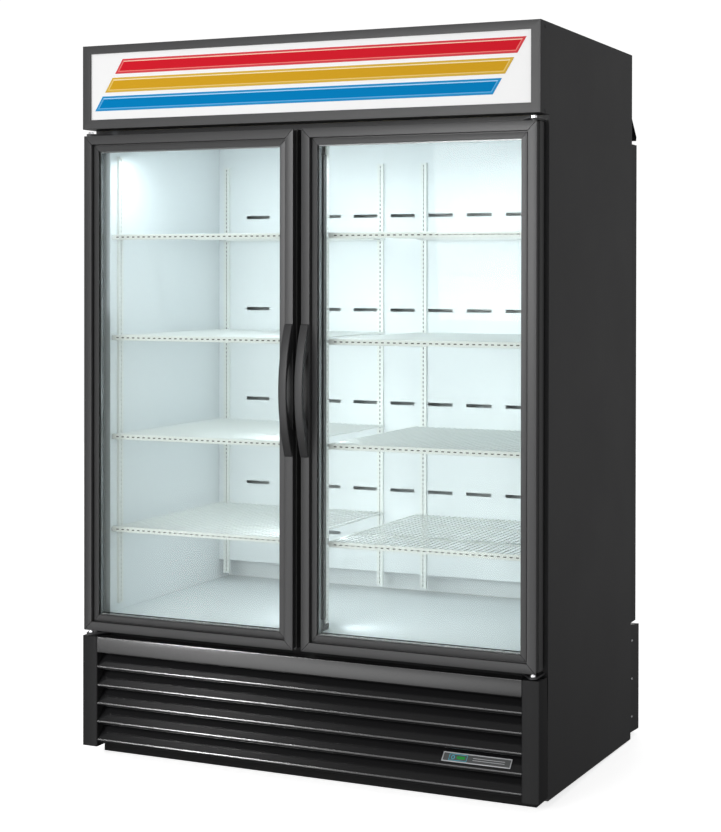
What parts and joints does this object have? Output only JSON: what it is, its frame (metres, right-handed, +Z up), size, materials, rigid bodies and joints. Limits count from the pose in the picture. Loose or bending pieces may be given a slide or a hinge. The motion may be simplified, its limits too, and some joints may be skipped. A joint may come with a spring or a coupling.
{
  "type": "reach in refrigerator",
  "caption": "Tall reach-in refrigerator: two hinged glass doors with bowed pulls, wire shelves, lit striped sign header and louvred machine base.",
  "frame": {"origin": "on the floor, under the middle of the whole object's bounding box", "axes": "+Z up, the doors face -Y, +X to the right of a person facing the doors"},
  "size_m": [1.3766, 0.887, 1.997],
  "materials": {
    "black_steel": "satin",
    "face_steel": "satin",
    "plated_steel": "satin",
    "wall_foam": "matte",
    "white_liner": "satin",
    "sign_border_steel": "satin",
    "sign_face": "gloss",
    "stripe_red": "gloss",
    "stripe_gold": "gloss",
    "stripe_blue": "gloss",
    "lamp": "matte",
    "bracket_steel": "satin",
    "pin_steel": "polished",
    "shelf_coating": "satin",
    "clip_steel": "satin",
    "coil_aluminium": "satin",
    "guard_wire": "polished",
    "fan_plastic": "matte",
    "fan_metal": "satin",
    "motor_steel": "matte",
    "control_plastic": "matte",
    "switch_plastic": "gloss",
    "drain_plastic": "satin",
    "copper": "satin",
    "compressor_paint": "gloss",
    "condenser_paint": "matte",
    "grille_steel": "satin",
    "plate_metal": "polished",
    "rear_steel": "satin",
    "door_metal": "satin",
    "door_glass": "polished",
    "spacer_metal": "matte",
    "gasket_rubber": "matte",
    "handle_plastic": "satin"
  },
  "bodies": {
    "cabinet": {"side_panel_left": "black_steel", "side_panel_right": "black_steel", "back_panel": "plated_steel", "top_panel": "plated_steel", "insulation": "wall_foam", "liner": "white_liner", "front_frame": "face_steel", "center_mullion": "face_steel", "header_housing": "black_steel", "sign_frame": "sign_border_steel", "sign_panel": "sign_face", "sign_stripe_upper": "stripe_red", "sign_stripe_middle": "stripe_gold", "sign_stripe_lower": "stripe_blue", "led_bars": "lamp", "hinge_brackets": "bracket_steel", "hinge_pins": "pin_steel", "shelf_standards": "shelf_coating", "shelf_clips": "clip_steel", "wire_shelf_left_1": "shelf_coating", "wire_shelf_left_2": "shelf_coating", "wire_shelf_left_3": "shelf_coating", "wire_shelf_left_4": "shelf_coating", "wire_shelf_right_1": "shelf_coating", "wire_shelf_right_2": "shelf_coating", "wire_shelf_right_3": "shelf_coating", "wire_shelf_right_4": "shelf_coating", "evaporator_housing": "white_liner", "evaporator_coil": "coil_aluminium", "evaporator_fan_guards": "guard_wire", "fan_motors": "motor_steel", "control_bezels": "control_plastic", "condensate_drain": "drain_plastic", "refrigerant_lines": "copper", "base_frame": "black_steel", "leveling_feet": "plated_steel", "compressor": "compressor_paint", "condenser_coil": "condenser_paint", "condenser_shroud": "rear_steel", "control_box": "plated_steel", "grille_posts": "grille_steel", "grille_louvres": "grille_steel", "name_plate": "plate_metal", "rear_duct_panel": "rear_steel", "rear_lower_cover": "rear_steel"},
    "door_left": {"door_frame_left": "door_metal", "door_glass_left": "door_glass", "door_spacer_left": "spacer_metal", "door_gasket_left": "gasket_rubber", "door_handle_left": "handle_plastic"},
    "door_right": {"door_frame_right": "door_metal", "door_glass_right": "door_glass", "door_spacer_right": "spacer_metal", "door_gasket_right": "gasket_rubber", "door_handle_right": "handle_plastic"},
    "evaporator_fan_left": {"evaporator_fan_left": "fan_plastic"},
    "evaporator_fan_right": {"evaporator_fan_right": "fan_plastic"},
    "condenser_fan": {"condenser_fan": "fan_metal"},
    "thermostat_knob": {"thermostat_knob": "control_plastic"},
    "light_switch": {"light_switch": "switch_plastic"}
  },
  "joints": [
    {"name": "left_door_hinge", "type": "hinge", "parent": "cabinet", "child": "door_left", "pos_m": [-0.6665, -0.3905, 0.35], "axis": [0, 0, -1], "range_deg": [0, 115], "stiffness_Nm_per_rad": 1.5, "springref_deg": -22.92},
    {"name": "right_door_hinge", "type": "hinge", "parent": "cabinet", "child": "door_right", "pos_m": [0.6665, -0.3905, 0.35], "axis": [0, 0, 1], "range_deg": [0, 115], "stiffness_Nm_per_rad": 1.5, "springref_deg": -22.92},
    {"name": "left_evaporator_fan_spin", "type": "hinge", "parent": "cabinet", "child": "evaporator_fan_left", "pos_m": [-0.3, -0.1505, 1.782], "axis": [0, 0, 1], "continuous": true},
    {"name": "right_evaporator_fan_spin", "type": "hinge", "parent": "cabinet", "child": "evaporator_fan_right", "pos_m": [0.3, -0.1505, 1.782], "axis": [0, 0, 1], "continuous": true},
    {"name": "condenser_fan_spin", "type": "hinge", "parent": "cabinet", "child": "condenser_fan", "pos_m": [-0.3, -0.1605, 0.186], "axis": [0, -1, 0], "continuous": true},
    {"name": "thermostat_knob_turn", "type": "hinge", "parent": "cabinet", "child": "thermostat_knob", "pos_m": [0.47, -0.2205, 1.742], "axis": [0, 0, -1], "range_deg": [0, 270]},
    {"name": "light_switch_rock", "type": "hinge", "parent": "cabinet", "child": "light_switch", "pos_m": [0.56, -0.2205, 1.7474], "axis": [1, 0, 0], "range_deg": [-16, 0]}
  ]
}
